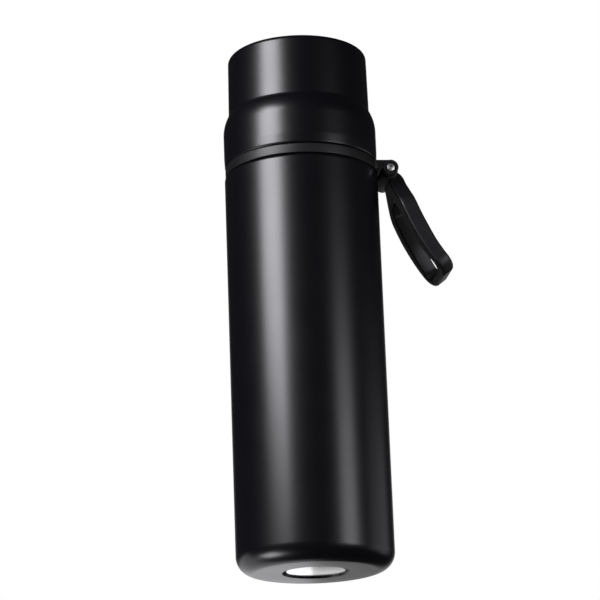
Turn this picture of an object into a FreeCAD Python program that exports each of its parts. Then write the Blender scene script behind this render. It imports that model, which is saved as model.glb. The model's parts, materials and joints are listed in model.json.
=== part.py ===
"""Vacuum flask with a cup lid, a push-button stopper and a swivelling carry handle.

Millimetres.  +Z runs up the axis of the flask, the origin is the centre of the
face it stands on, and the lug that carries the handle points to +X.
"""
import FreeCAD, Part
import math
import os

os.makedirs("parts", exist_ok=True)
Vector = FreeCAD.Vector

# ---- clearances -------------------------------------------------------------
RUNNING_FIT = 0.08        # radial play of a pin in its hole
RING_FIT = 0.10           # radial play of the carry ring on its collar
SEAM = 0.30               # visible joint between stacked pieces
SNUG = 0.05               # piece seated inside another of the same body

# ---- steel body -------------------------------------------------------------
BODY_RADIUS = 36.0        # outside of the painted shell
BODY_HEIGHT = 188.0       # standing face up to the ledge under the carry ring
SHELL_WALL = 0.45
LEDGE_EDGE = 0.9          # rounding of the ledge's outer edge
BASE_CORNER = 8.2         # rounding between the wall and the standing face
CAP_RIM = 0.8             # straight rim of the welded bottom cap
RECESS_RADIUS = 15.2      # shallow recess in the middle of the underside
RECESS_DEPTH = 1.9
RECESS_LEAN = 0.7         # how far the walls of recess and dimple lean in
DIMPLE_RADIUS = 5.4       # deeper dimple round the evacuation port
DIMPLE_DEPTH = 1.2
PORT_RADIUS = 1.2
DISC_MARGIN = 1.7         # bright cover disc to the edge of the recess
DISC_WALL = 0.5
DISC_CHAMFER = 0.2
SEAL_RADIUS = 4.0         # bead of seal glass in the dimple
SEAL_LEAN = 1.0
SEAL_DEPTH = 0.9

# ---- carry ring and its fork lug --------------------------------------------
RING_INSET = 0.4          # ring edge inside the painted wall
RING_HEIGHT = 4.5
RING_EDGE = 0.35
LUG_HALF_WIDTH = 13.2     # axis plane to the outer face of an ear
EAR_WIDTH = 2.7
EAR_FILLET = 2.2          # between ear and ring, seen from above
WEB_HEIGHT = 2.0          # floor between the ears
PIVOT_REACH = 4.8         # pivot outside the painted wall
PIVOT_RISE = 1.1          # pivot above the ledge
BOSS_WALL = 1.15          # round the counterbore
BOSS_PROUD = 0.4
COUNTERBORE_DEPTH = 1.4

# ---- pivot pin --------------------------------------------------------------
SLEEVE_RADIUS = 2.1
SLEEVE_HEAD = 0.3         # its head is this much wider
SLEEVE_END = 1.0          # closed end of its bore
SCREW_GAP = 0.5           # round the head of the screw
SCREW_HEAD_HEIGHT = 1.1
SCREW_RADIUS = 1.2
SCREW_LENGTH = 14.0
SOCKET_RADIUS = 0.85
SOCKET_DEPTH = 0.6

# ---- collar and neck --------------------------------------------------------
LEDGE_WIDTH = 4.8         # ledge that the carry ring lies on
COLLAR_RISE = 2.8         # collar above the carry ring
COLLAR_EDGE = 1.2
GROOVE_HEIGHT = 0.9       # groove for the snap ring, above the carry ring
GROOVE_DEPTH = 0.7
SNAP_RING_REACH = 1.4     # snap ring outside the collar
SNAP_RING_SPLIT = 4.0
NECK_STEP = 6.2           # neck inside the collar
NECK_SLOPE = 2.8          # rise of the shoulder from collar to neck
NECK_FOOT_ROUND = 2.0
NECK_HEIGHT = 14.6

# ---- inner vessel -----------------------------------------------------------
VESSEL_WALL = 0.4
VACUUM_GAP = 3.1          # between the two walls
FLOOR_GAP = 3.65          # vessel above the bottom cap
VESSEL_CORNER = 9.0
VESSEL_DROP = 8.0         # shoulder of the vessel below the ledge
SHOULDER_RISE = 7.5
SHOULDER_ROUND = 7.0
NECK_GAP = 1.75           # vacuum between neck and mouth
MOUTH_FOOT_ROUND = 5.0
FOIL_WALL = 0.1
FOIL_MARGIN = 3.0         # bare band above and below the foil
GETTER_RADIUS = 5.0
GETTER_HEIGHT = 1.5
GETTER_OFFSET = 12.0

# ---- carry handle -----------------------------------------------------------
HANDLE_LENGTH = 56.4      # pivot to the end, along its curve
HANDLE_TOP_ANGLE = 10.8   # from straight down, at the pivot
HANDLE_END_ANGLE = 38.8   # from straight down, at the end
HANDLE_THICKNESS = 7.0
HANDLE_OFFSET = 2.4       # its mid plane passes this far outside the pivot
HANDLE_EDGE = 1.0         # rounding of all its long edges
HEAD_ROUND = 5.5          # where the plate leaves the barrel, outside
HEAD_ROUND_IN = 1.3       # the same on its inside, within the barrel
BARREL_WALL = 2.0         # round the pin
EAR_PLAY = 0.3            # side play between barrel and ears
NECK_HALF_WIDTH = 6.9     # handle just below its barrel
LOOP_HALF_WIDTH = 15.1
LOOP_RADIUS = 11.5
WIDENING_START = 5.1      # the neck starts to widen
WIDENING_END = 17.4       # and has reached the loop's full width
WIDENING_RADIUS = 11.5
ARM_WIDTH = 8.2           # at the start of the loop
ARM_WIDTH_END = 7.2       # at its end
END_BAR = 6.0
OPENING_START = 13.5
OPENING_HALF_WIDTH = 3.4  # where the opening starts
OPENING_RADIUS = 2.5
OPENING_END_RADIUS = 5.5

# ---- stopper ----------------------------------------------------------------
GASKET_HEIGHT = 1.6
LIP_INSET = 0.1           # gasket edge inside the edge of the steel lip
DECK_HEIGHT = 2.5
DECK_EDGE = 0.8
PLUG_GAP = 0.8            # plug to the wall of the mouth
PLUG_WALL = 1.6
PLUG_DEPTH = 17.0         # plug below the top of the neck
PLUG_EDGE = 1.0
FLOOR_WALL = 2.0
PORT_OPENING = 6.5        # valve port in the plug's floor
THREAD_SPACE = 1.3        # room for the thread between neck and skirt
INNER_SKIRT_WALL = 1.8
INNER_SKIRT_GAP = 1.2     # above the foot of the neck
OUTER_SKIRT_STEP = 6.0    # outer skirt outside the neck
OUTER_SKIRT_WALL = 1.8
OUTER_SKIRT_GAP = 1.3     # above the collar
POUR_CHANNEL = 5.0        # between plug and button well
POUR_SLOT_MARGIN = 1.0    # slot to each wall of the channel
POUR_SLOT_ANGLE = 70.0
WELL_WALL = 1.6
WELL_RISE = 4.0           # well above the deck
WELL_DEPTH = 9.0          # well below the deck
WELL_EDGE = 0.5
PLUG_SEAL_RISE = 3.0      # above the plug's foot
PLUG_SEAL_HEIGHT = 2.2
PLUG_SEAL_DEPTH = 0.8

# ---- push button and valve --------------------------------------------------
BUTTON_GAP = 0.3
BUTTON_PROUD = 3.0        # above the well
BUTTON_HEIGHT = 10.9
BUTTON_WALL = 1.6
BUTTON_DISH = 0.6         # hollow for the thumb
BUTTON_RIM = 3.0          # flat rim round the hollow
BUTTON_EDGE = 1.0
BUTTON_BOSS_WALL = 1.4
BUTTON_BOSS_HEIGHT = 5.0
BUTTON_SEAL_RISE = 1.6
BUTTON_SEAL_HEIGHT = 1.8
BUTTON_SEAL_DEPTH = 0.9
STEM_RADIUS = 2.4
STEM_TAIL = 0.7           # stem below its clip
STEM_SEAL_WIDTH = 1.9
STEM_SEAL_HEIGHT = 1.6
VALVE_LAP = 2.5           # valve seal beyond the port
VALVE_SEAL_HEIGHT = 1.8
VALVE_PLATE_LAP = 0.6     # plate beyond its seal
VALVE_PLATE_HEIGHT = 1.5
CLIP_WIDTH = 1.75
CLIP_HEIGHT = 0.8
SPRING_GAP = 1.5          # coil outside the button's boss
SPRING_WIRE = 0.9
SPRING_TURNS = 5
SPRING_STEPS = 20         # sections in one turn
SPRING_CORNERS = 6        # corners of one section

# ---- cup --------------------------------------------------------------------
CUP_HEIGHT = 54.6
CUP_WALL = 0.4
CUP_RIM_CHAMFER = 0.5
CREASE_RISE = 25.5        # rim up to the foot of the plain cylinder
CREASE_INSET = 2.7        # crease inside the rim
CREASE_ROUND = 5.0
SHOULDER_TILT = 28.0      # slope of the shoulder just below the crease
CUP_SHOULDER_ROUND = 18.0
CUP_DRAFT = 0.4           # the cylinder narrows by this to its top
CUP_TOP_EDGE = 2.3
CUP_TOP_BAND = 6.9        # flat ring round the dish of the top
CUP_DISH_DEPTH = 0.8
LINER_WALL = 0.4
LINER_LIP = 1.25          # rim up to the top of the liner's lip
LINER_LIP_ROUND = 0.5
LINER_GAP = 1.6           # liner inside the shell, at the skirt
LINER_SHOULDER_DROP = 7.1 # skirt ends this far below the crease
LINER_SHOULDER_ROUND = 4.0
LINER_NECK_GAP = 1.1      # liner inside the crease
LEDGE_REACH = 2.2         # ledge that sits on the gasket
LINER_CORNER = 3.0
LINER_TOP_GAP = 3.8       # cup top down to the liner's top
CUP_THREAD_SPACE = 0.6    # thread ring outside the stopper's skirt
THREAD_RING_RISE = 3.9    # above the rim
THREAD_RING_HEIGHT = 11.0
CUP_GASKET_HEIGHT = 1.2
CUP_GASKET_WIDTH = 1.9

# ---- levels and radii that follow: body and ring ----------------------------
CAP_TOP = BASE_CORNER + CAP_RIM
DIMPLE_ROOF = RECESS_DEPTH + DIMPLE_DEPTH
DISC_RADIUS = RECESS_RADIUS - DISC_MARGIN
RING_RADIUS = BODY_RADIUS - RING_INSET
RING_FOOT = BODY_HEIGHT + SEAM
RING_TOP = RING_FOOT + RING_HEIGHT
COLLAR_RADIUS = BODY_RADIUS - LEDGE_WIDTH
COLLAR_TOP = RING_TOP + COLLAR_RISE
RING_BORE = COLLAR_RADIUS + RING_FIT
GROOVE_FOOT = RING_TOP + SEAM
GROOVE_RADIUS = COLLAR_RADIUS - GROOVE_DEPTH
SNAP_RING_RADIUS = COLLAR_RADIUS + SNAP_RING_REACH
SNAP_RING_WALL = GROOVE_HEIGHT - 2 * SNUG
PIVOT_X = BODY_RADIUS + PIVOT_REACH
PIVOT_Z = BODY_HEIGHT + PIVOT_RISE
INNER_FACE = LUG_HALF_WIDTH - EAR_WIDTH
BOSS_FACE = LUG_HALF_WIDTH + BOSS_PROUD
SLEEVE_HEAD_RADIUS = SLEEVE_RADIUS + SLEEVE_HEAD
COUNTERBORE_RADIUS = SLEEVE_HEAD_RADIUS + SNUG
SCREW_HEAD_RADIUS = COUNTERBORE_RADIUS - SCREW_GAP
BOSS_RADIUS = COUNTERBORE_RADIUS + BOSS_WALL
BARREL_RADIUS = SLEEVE_RADIUS + BARREL_WALL

# ---- neck and vessel --------------------------------------------------------
NECK_RADIUS = COLLAR_RADIUS - NECK_STEP
NECK_FOOT = COLLAR_TOP + NECK_SLOPE
NECK_TOP = NECK_FOOT + NECK_HEIGHT
VESSEL_RADIUS = BODY_RADIUS - SHELL_WALL - VACUUM_GAP
VESSEL_FLOOR = DIMPLE_ROOF + SHELL_WALL + FLOOR_GAP
VESSEL_SHOULDER = BODY_HEIGHT - VESSEL_DROP
MOUTH_FOOT = VESSEL_SHOULDER + SHOULDER_RISE
MOUTH_OUTER = NECK_RADIUS - SHELL_WALL - NECK_GAP
MOUTH_RADIUS = MOUTH_OUTER - VESSEL_WALL
LIP_TOP = NECK_TOP + VESSEL_WALL

# ---- stopper and button -----------------------------------------------------
DECK_FOOT = LIP_TOP + GASKET_HEIGHT
DECK_TOP = DECK_FOOT + DECK_HEIGHT
PLUG_RADIUS = MOUTH_RADIUS - PLUG_GAP
PLUG_INNER = PLUG_RADIUS - PLUG_WALL
PLUG_FLOOR = NECK_TOP - PLUG_DEPTH
PLUG_SEAL_FOOT = PLUG_FLOOR + PLUG_SEAL_RISE
PLUG_SEAL_TOP = PLUG_SEAL_FOOT + PLUG_SEAL_HEIGHT
OUTER_SKIRT_RADIUS = NECK_RADIUS + OUTER_SKIRT_STEP
WELL_OUTER = PLUG_INNER - POUR_CHANNEL
WELL_RADIUS = WELL_OUTER - WELL_WALL
WELL_TOP = DECK_TOP + WELL_RISE
WELL_FLOOR = DECK_FOOT - WELL_DEPTH
WELL_INSIDE = WELL_FLOOR + WELL_WALL
BUTTON_RADIUS = WELL_RADIUS - BUTTON_GAP
BUTTON_TOP = WELL_TOP + BUTTON_PROUD
BUTTON_FOOT = BUTTON_TOP - BUTTON_HEIGHT
BUTTON_ROOF = BUTTON_TOP - BUTTON_DISH - BUTTON_WALL
BUTTON_SEAL_FOOT = BUTTON_FOOT + BUTTON_SEAL_RISE
BUTTON_SEAL_TOP = BUTTON_SEAL_FOOT + BUTTON_SEAL_HEIGHT
BUTTON_BOSS_RADIUS = STEM_RADIUS + BUTTON_BOSS_WALL
STEM_HOLE = STEM_RADIUS + SNUG
STEM_GUIDE = STEM_RADIUS + RUNNING_FIT
SPRING_RADIUS = BUTTON_BOSS_RADIUS + SPRING_GAP + SPRING_WIRE / 2
VALVE_PLATE_TOP = PLUG_FLOOR - VALVE_SEAL_HEIGHT
VALVE_SEAL_RADIUS = PORT_OPENING + VALVE_LAP
CLIP_TOP = VALVE_PLATE_TOP - VALVE_PLATE_HEIGHT
CLIP_FOOT = CLIP_TOP - CLIP_HEIGHT

# ---- cup --------------------------------------------------------------------
CUP_RIM = RING_TOP + SEAM
CUP_TOP = CUP_RIM + CUP_HEIGHT
CREASE_HEIGHT = CUP_RIM + CREASE_RISE
CREASE_RADIUS = BODY_RADIUS - CREASE_INSET
CUP_TOP_RADIUS = CREASE_RADIUS - CUP_DRAFT
CUP_DISH_RADIUS = CUP_TOP_RADIUS - CUP_TOP_BAND
LINER_SKIRT_RADIUS = BODY_RADIUS - CUP_WALL - LINER_GAP
LINER_LEDGE_RADIUS = CREASE_RADIUS - LINER_NECK_GAP
LINER_RADIUS = LINER_LEDGE_RADIUS - LEDGE_REACH
CUP_GASKET_OUTER = OUTER_SKIRT_RADIUS - LIP_INSET
THREAD_RING_INNER = OUTER_SKIRT_RADIUS + CUP_THREAD_SPACE
THREAD_RING_FOOT = CUP_RIM + THREAD_RING_RISE


# ---- shapes from profiles ---------------------------------------------------
def outline(points, place):
    """Closed wire through (u, v) or (u, v, radius) points, corners rounded."""
    corners = [tuple(p) + (0.0,) * (3 - len(p)) for p in points]
    count = len(corners)
    ends = []
    for i, (u, v, radius) in enumerate(corners):
        corner = Vector(u, v, 0)
        if radius <= 0:
            ends.append((corner, None, corner))
            continue
        back = Vector(*corners[i - 1][:2], 0) - corner
        ahead = Vector(*corners[(i + 1) % count][:2], 0) - corner
        back.normalize()
        ahead.normalize()
        half = back.getAngle(ahead) / 2
        reach = radius / math.tan(half)
        bisector = (back + ahead).normalize()
        middle = corner + bisector * (radius / math.sin(half) - radius)
        ends.append((corner + back * reach, middle, corner + ahead * reach))
    edges = []
    for i, (start, middle, end) in enumerate(ends):
        if middle is not None:
            arc = [place(q) for q in (start, middle, end)]
            edges.append(Part.Arc(*arc).toShape())
        following = ends[(i + 1) % count][0]
        if (following - end).Length > 1e-6:
            edges.append(Part.makeLine(place(end), place(following)))
    return Part.Wire(edges)


def side_plane(q):
    """A profile point (radius, height) in the XZ plane."""
    return Vector(q.x, 0, q.y)


def lathe(points):
    """Solid of revolution about Z from (radius, height) points."""
    face = Part.Face(outline(points, side_plane))
    solid = face.revolve(Vector(0, 0, 0), Vector(0, 0, 1), 360)
    return solid


def sheet(points, wall):
    """Profile of bent sheet: a line of points, thickened to its left."""
    line = [tuple(p) + (0.0,) * (3 - len(p)) for p in points]
    ways = []
    for (u0, v0, _), (u1, v1, _) in zip(line, line[1:]):
        length = math.hypot(u1 - u0, v1 - v0)
        ways.append(((u1 - u0) / length, (v1 - v0) / length))
    back = []
    for i, (u, v, radius) in enumerate(line):
        before = ways[max(i - 1, 0)]
        after = ways[min(i, len(ways) - 1)]
        turn = before[0] * after[1] - before[1] * after[0]
        cosine = before[0] * after[0] + before[1] * after[1]
        scale = wall / (1 + cosine)
        u_back = u - (before[1] + after[1]) * scale
        v_back = v + (before[0] + after[0]) * scale
        inner = max(radius - wall, 0.0)
        outer = radius + wall if radius > 0 else 0.0
        back.append((u_back, v_back, inner if turn > 0 else outer))
    return line + back[::-1]


def tube(inner, outer, foot, top):
    """Plain ring between two radii and two heights."""
    return lathe([(inner, foot), (outer, foot), (outer, top), (inner, top)])


def rod_y(radius, y_start, y_end):
    """Cylinder along Y on the pivot axis."""
    start = Vector(PIVOT_X, y_start, PIVOT_Z)
    return Part.makeCylinder(radius, y_end - y_start, start, Vector(0, 1, 0))


def middle_of(edge):
    """Point half way along an edge."""
    return edge.valueAt((edge.FirstParameter + edge.LastParameter) / 2)


def rounded(shape, radius, wanted):
    """Fillet the edges for which wanted(edge) is true."""
    edges = [e for e in shape.Edges if wanted(e)]
    return shape.makeFillet(radius, edges)


def save(shape, name):
    """Write one node."""
    shape.exportStep("parts/" + name + ".step")
    print(name, "solids", len(shape.Solids), "volume", round(shape.Volume, 1))


# ---- body -------------------------------------------------------------------
def base_cap():
    """Pressed bottom with its corner, recess and evacuation port."""
    line = [
        (PORT_RADIUS, DIMPLE_ROOF),
        (DIMPLE_RADIUS - RECESS_LEAN, DIMPLE_ROOF),
        (DIMPLE_RADIUS, RECESS_DEPTH),
        (RECESS_RADIUS - RECESS_LEAN, RECESS_DEPTH),
        (RECESS_RADIUS, 0),
        (BODY_RADIUS, 0, BASE_CORNER),
        (BODY_RADIUS, CAP_TOP),
    ]
    return lathe(sheet(line, SHELL_WALL))


def outer_shell():
    """Painted wall, ledge, collar with its groove, shoulder and neck."""
    groove_top = GROOVE_FOOT + GROOVE_HEIGHT
    line = [
        (BODY_RADIUS, CAP_TOP),
        (BODY_RADIUS, BODY_HEIGHT, LEDGE_EDGE),
        (COLLAR_RADIUS, BODY_HEIGHT),
        (COLLAR_RADIUS, GROOVE_FOOT),
        (GROOVE_RADIUS, GROOVE_FOOT),
        (GROOVE_RADIUS, groove_top),
        (COLLAR_RADIUS, groove_top),
        (COLLAR_RADIUS, COLLAR_TOP, COLLAR_EDGE),
        (NECK_RADIUS, NECK_FOOT, NECK_FOOT_ROUND),
        (NECK_RADIUS, NECK_TOP),
    ]
    return lathe(sheet(line, SHELL_WALL))


def inner_vessel():
    """Steel bottle inside the shell, with the lip that closes the neck."""
    line = [
        (0, VESSEL_FLOOR),
        (VESSEL_RADIUS, VESSEL_FLOOR, VESSEL_CORNER),
        (VESSEL_RADIUS, VESSEL_SHOULDER, SHOULDER_ROUND),
        (MOUTH_OUTER, MOUTH_FOOT, MOUTH_FOOT_ROUND),
        (MOUTH_OUTER, NECK_TOP),
        (NECK_RADIUS, NECK_TOP),
    ]
    return lathe(sheet(line, VESSEL_WALL))


def heat_foil():
    """Thin copper foil wrapped round the straight wall of the vessel."""
    inner = VESSEL_RADIUS + SNUG
    foot = VESSEL_FLOOR + VESSEL_CORNER + FOIL_MARGIN
    top = VESSEL_SHOULDER - SHOULDER_ROUND - FOIL_MARGIN
    return tube(inner, inner + FOIL_WALL, foot, top)


def getter():
    """Pellet that keeps the vacuum, under the vessel's floor."""
    foot = Vector(-GETTER_OFFSET, 0, VESSEL_FLOOR - GETTER_HEIGHT)
    return Part.makeCylinder(GETTER_RADIUS, GETTER_HEIGHT, foot)


def seal_bead():
    """Seal glass that fills the evacuation port."""
    foot = DIMPLE_ROOF - SEAL_DEPTH
    top = DIMPLE_ROOF + SHELL_WALL
    plug = PORT_RADIUS - SNUG
    line = [
        (0, foot),
        (SEAL_RADIUS - SEAL_LEAN, foot),
        (SEAL_RADIUS, DIMPLE_ROOF),
        (plug, DIMPLE_ROOF),
        (plug, top),
        (0, top),
    ]
    return lathe(line)


def base_disc():
    """Polished disc that covers the port."""
    foot = RECESS_DEPTH - DISC_WALL
    line = [
        (0, foot),
        (DISC_RADIUS - DISC_CHAMFER, foot),
        (DISC_RADIUS, foot + DISC_CHAMFER),
        (DISC_RADIUS, RECESS_DEPTH),
        (0, RECESS_DEPTH),
    ]
    return lathe(line)


def snap_ring():
    """Split ring in the collar's groove that holds the carry ring down."""
    foot = GROOVE_FOOT + SNUG
    ring = tube(GROOVE_RADIUS + SNUG, SNAP_RING_RADIUS, foot, foot + SNAP_RING_WALL)
    corner = Vector(-SNAP_RING_RADIUS, -SNAP_RING_SPLIT / 2, foot)
    split = Part.makeBox(SNAP_RING_RADIUS, SNAP_RING_SPLIT, SNAP_RING_WALL, corner)
    return ring.cut(split)


# ---- carry ring -------------------------------------------------------------
def carry_ring():
    """Flat band that turns on the collar, with two ears and round bosses."""
    shape = tube(RING_BORE, RING_RADIUS, RING_FOOT, RING_TOP)
    for side in (-1, 1):
        near = min(side * INNER_FACE, side * LUG_HALF_WIDTH)
        corner = Vector(RING_BORE, near, RING_FOOT)
        ear = Part.makeBox(PIVOT_X - RING_BORE, EAR_WIDTH, RING_HEIGHT, corner)
        shape = shape.fuse(ear)
    bore = Part.makeCylinder(RING_BORE, RING_TOP)
    shape = shape.cut(bore).removeSplitter()

    def ear_root(edge):
        box = edge.BoundBox
        upright = box.ZLength > RING_HEIGHT / 2 and box.XLength < SNUG
        return upright and RING_BORE < box.XMin < RING_RADIUS

    def outside_rim(edge):
        box = edge.BoundBox
        level = box.ZLength < SNUG
        at_bore = box.XMax < RING_BORE + SNUG and -box.YMin < RING_BORE + SNUG
        at_end = box.XMin > PIVOT_X - SNUG
        return level and not at_bore and not at_end

    shape = rounded(shape, EAR_FILLET, ear_root)
    shape = rounded(shape, RING_EDGE, outside_rim)
    shape = shape.fuse(lug_web())
    for side in (-1, 1):
        near = min(side * INNER_FACE, side * BOSS_FACE)
        boss = rod_y(BOSS_RADIUS, near, near + EAR_WIDTH + BOSS_PROUD)
        shape = shape.fuse(boss)
    near_hole = rod_y(SCREW_RADIUS + SNUG, -BOSS_FACE, -INNER_FACE)
    far_hole = rod_y(SLEEVE_RADIUS + SNUG, INNER_FACE, BOSS_FACE)
    near_bore = rod_y(COUNTERBORE_RADIUS, -BOSS_FACE, -BOSS_FACE + COUNTERBORE_DEPTH)
    far_bore = rod_y(COUNTERBORE_RADIUS, BOSS_FACE - COUNTERBORE_DEPTH, BOSS_FACE)
    for hole in (near_hole, far_hole, near_bore, far_bore):
        shape = shape.cut(hole)
    return shape.removeSplitter()


def lug_web():
    """Floor between the ears, hollowed round the handle's barrel."""
    corner = Vector(RING_RADIUS - RING_EDGE, -INNER_FACE, RING_FOOT)
    floor = Part.makeBox(PIVOT_X - RING_RADIUS, 2 * INNER_FACE, WEB_HEIGHT, corner)
    room = rod_y(BARREL_RADIUS + SEAM, -INNER_FACE, INNER_FACE)
    return floor.cut(room)


def pivot_screw():
    """Bright screw whose head sits in the near boss."""
    seat = -BOSS_FACE + COUNTERBORE_DEPTH
    head = rod_y(SCREW_HEAD_RADIUS, seat - SCREW_HEAD_HEIGHT, seat)
    shank = rod_y(SCREW_RADIUS, seat, seat + SCREW_LENGTH)
    socket_start = seat - SCREW_HEAD_HEIGHT
    hexagon = []
    for k in range(6):
        angle = math.radians(60 * k)
        x = PIVOT_X + SOCKET_RADIUS * math.cos(angle)
        z = PIVOT_Z + SOCKET_RADIUS * math.sin(angle)
        hexagon.append(Vector(x, socket_start, z))
    face = Part.Face(Part.makePolygon(hexagon + hexagon[:1]))
    socket = face.extrude(Vector(0, SOCKET_DEPTH, 0))
    return head.fuse(shank).cut(socket).removeSplitter()


def pivot_sleeve():
    """Hollow pin the handle turns on, with its head in the far boss."""
    seat = BOSS_FACE - COUNTERBORE_DEPTH
    pin = rod_y(SLEEVE_RADIUS, -INNER_FACE, seat)
    head = rod_y(SLEEVE_HEAD_RADIUS, seat, seat + SCREW_HEAD_HEIGHT)
    bore = rod_y(SCREW_RADIUS + SNUG, -INNER_FACE, seat - SLEEVE_END)
    return pin.fuse(head).cut(bore).removeSplitter()


# ---- carry handle -----------------------------------------------------------
def bend():
    """Centre and radius of the arc that the handle's mid plane follows."""
    start = math.radians(HANDLE_TOP_ANGLE)
    radius = HANDLE_LENGTH / math.radians(HANDLE_END_ANGLE - HANDLE_TOP_ANGLE)
    reach = HANDLE_OFFSET + radius
    centre = Vector(PIVOT_X + reach * math.cos(start), 0, PIVOT_Z + reach * math.sin(start))
    return centre, radius


def handle_path(distance, outward):
    """Point of the handle's side view, a distance along its arc."""
    centre, radius = bend()
    share = distance / HANDLE_LENGTH
    angle = math.radians(HANDLE_TOP_ANGLE + share * (HANDLE_END_ANGLE - HANDLE_TOP_ANGLE))
    reach = radius - outward
    return centre - Vector(reach * math.cos(angle), 0, reach * math.sin(angle))


def curved_plate():
    """Plate larger than the loop, bent to the handle's side view."""
    half = HANDLE_THICKNESS / 2
    stations = (0, HANDLE_LENGTH / 2, HANDLE_LENGTH + HANDLE_THICKNESS)
    inner = [handle_path(s, -half) for s in stations]
    outer = [handle_path(s, half) for s in stations]
    wire = Part.Wire([
        Part.Arc(*inner).toShape(),
        Part.makeLine(inner[2], outer[2]),
        Part.Arc(*outer[::-1]).toShape(),
        Part.makeLine(outer[0], inner[0]),
    ])
    width = LOOP_HALF_WIDTH + HANDLE_THICKNESS
    face = Part.Face(wire)
    face.translate(Vector(0, -width, 0))
    plate = face.extrude(Vector(0, 2 * width, 0))
    plate = rounded(plate, HEAD_ROUND, lambda e: (middle_of(e) - outer[0]).Length < SNUG)
    return rounded(plate, HEAD_ROUND_IN, lambda e: (middle_of(e) - inner[0]).Length < SNUG)


def handle_frame():
    """Start, direction along and direction out of the handle's chord."""
    start = handle_path(0, 0)
    along = handle_path(HANDLE_LENGTH, 0) - start
    chord = along.Length
    along.normalize()
    out = Vector(-along.z, 0, along.x)
    return start, along, out, chord


def chord_prism(points):
    """Prism over an outline drawn on the handle's chord plane."""
    start, along, out, _ = handle_frame()
    depth = HANDLE_LENGTH / 2

    def place(q):
        return start + along * q.x + Vector(0, q.y, 0) - out * depth

    return Part.Face(outline(points, place)).extrude(out * 2 * depth)


def mirrored(points):
    """Points on the +Y side, followed by their mirror image."""
    other = [(p[0], -p[1]) + tuple(p[2:]) for p in points]
    return points + other[::-1]


def carry_handle():
    """Barrel, short neck and closed loop, bent outwards to its end."""
    chord = handle_frame()[3]
    loop = mirrored([
        (-HANDLE_THICKNESS, NECK_HALF_WIDTH),
        (WIDENING_START, NECK_HALF_WIDTH, WIDENING_RADIUS),
        (WIDENING_END, LOOP_HALF_WIDTH, WIDENING_RADIUS),
        (chord, LOOP_HALF_WIDTH, LOOP_RADIUS),
    ])
    opening = mirrored([
        (OPENING_START, OPENING_HALF_WIDTH, OPENING_RADIUS),
        (WIDENING_END, LOOP_HALF_WIDTH - ARM_WIDTH, OPENING_RADIUS),
        (chord - END_BAR, LOOP_HALF_WIDTH - ARM_WIDTH_END, OPENING_END_RADIUS),
    ])
    shape = curved_plate().common(chord_prism(loop))
    shape = shape.cut(chord_prism(opening))
    centre, radius = bend()

    def long_edge(edge):
        middle = middle_of(edge)
        from_mid = math.hypot(middle.x - centre.x, middle.z - centre.z) - radius
        on_face = abs(abs(from_mid) - HANDLE_THICKNESS / 2) < SNUG
        across_neck = edge.BoundBox.YLength > 2 * NECK_HALF_WIDTH - SNUG
        return on_face and not across_neck

    shape = rounded(shape, HANDLE_EDGE, long_edge)
    barrel_half = INNER_FACE - EAR_PLAY
    shape = shape.fuse(rod_y(BARREL_RADIUS, -barrel_half, barrel_half))
    bore = rod_y(SLEEVE_RADIUS + RUNNING_FIT, -barrel_half, barrel_half)
    return shape.cut(bore)


# ---- stopper ----------------------------------------------------------------
def neck_gasket():
    """Silicone ring between the steel lip and the stopper."""
    inner = MOUTH_RADIUS + LIP_INSET
    outer = NECK_RADIUS - LIP_INSET
    return tube(inner, outer, LIP_TOP, DECK_FOOT)


def stopper_body():
    """Deck with plug, two skirts and the well for the push button."""
    inner_skirt = NECK_RADIUS + THREAD_SPACE
    inner_skirt_outer = inner_skirt + INNER_SKIRT_WALL
    inner_skirt_foot = NECK_FOOT + INNER_SKIRT_GAP
    outer_skirt_inner = OUTER_SKIRT_RADIUS - OUTER_SKIRT_WALL
    outer_skirt_foot = COLLAR_TOP + OUTER_SKIRT_GAP
    groove = PLUG_RADIUS - PLUG_SEAL_DEPTH
    line = [
        (STEM_GUIDE, WELL_FLOOR),
        (WELL_OUTER, WELL_FLOOR),
        (WELL_OUTER, DECK_FOOT),
        (PLUG_INNER, DECK_FOOT),
        (PLUG_INNER, PLUG_FLOOR + FLOOR_WALL),
        (PORT_OPENING, PLUG_FLOOR + FLOOR_WALL),
        (PORT_OPENING, PLUG_FLOOR),
        (PLUG_RADIUS, PLUG_FLOOR, PLUG_EDGE),
        (PLUG_RADIUS, PLUG_SEAL_FOOT),
        (groove, PLUG_SEAL_FOOT),
        (groove, PLUG_SEAL_TOP),
        (PLUG_RADIUS, PLUG_SEAL_TOP),
        (PLUG_RADIUS, DECK_FOOT),
        (inner_skirt, DECK_FOOT),
        (inner_skirt, inner_skirt_foot),
        (inner_skirt_outer, inner_skirt_foot),
        (inner_skirt_outer, DECK_FOOT),
        (outer_skirt_inner, DECK_FOOT),
        (outer_skirt_inner, outer_skirt_foot),
        (OUTER_SKIRT_RADIUS, outer_skirt_foot),
        (OUTER_SKIRT_RADIUS, DECK_TOP, DECK_EDGE),
        (WELL_OUTER, DECK_TOP),
        (WELL_OUTER, WELL_TOP, WELL_EDGE),
        (WELL_RADIUS, WELL_TOP),
        (WELL_RADIUS, WELL_INSIDE),
        (STEM_GUIDE, WELL_INSIDE),
    ]
    shape = lathe(line)
    slot = pour_slot()
    shape = shape.cut(slot)
    slot.rotate(Vector(0, 0, 0), Vector(0, 0, 1), 180)
    return shape.cut(slot)


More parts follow.
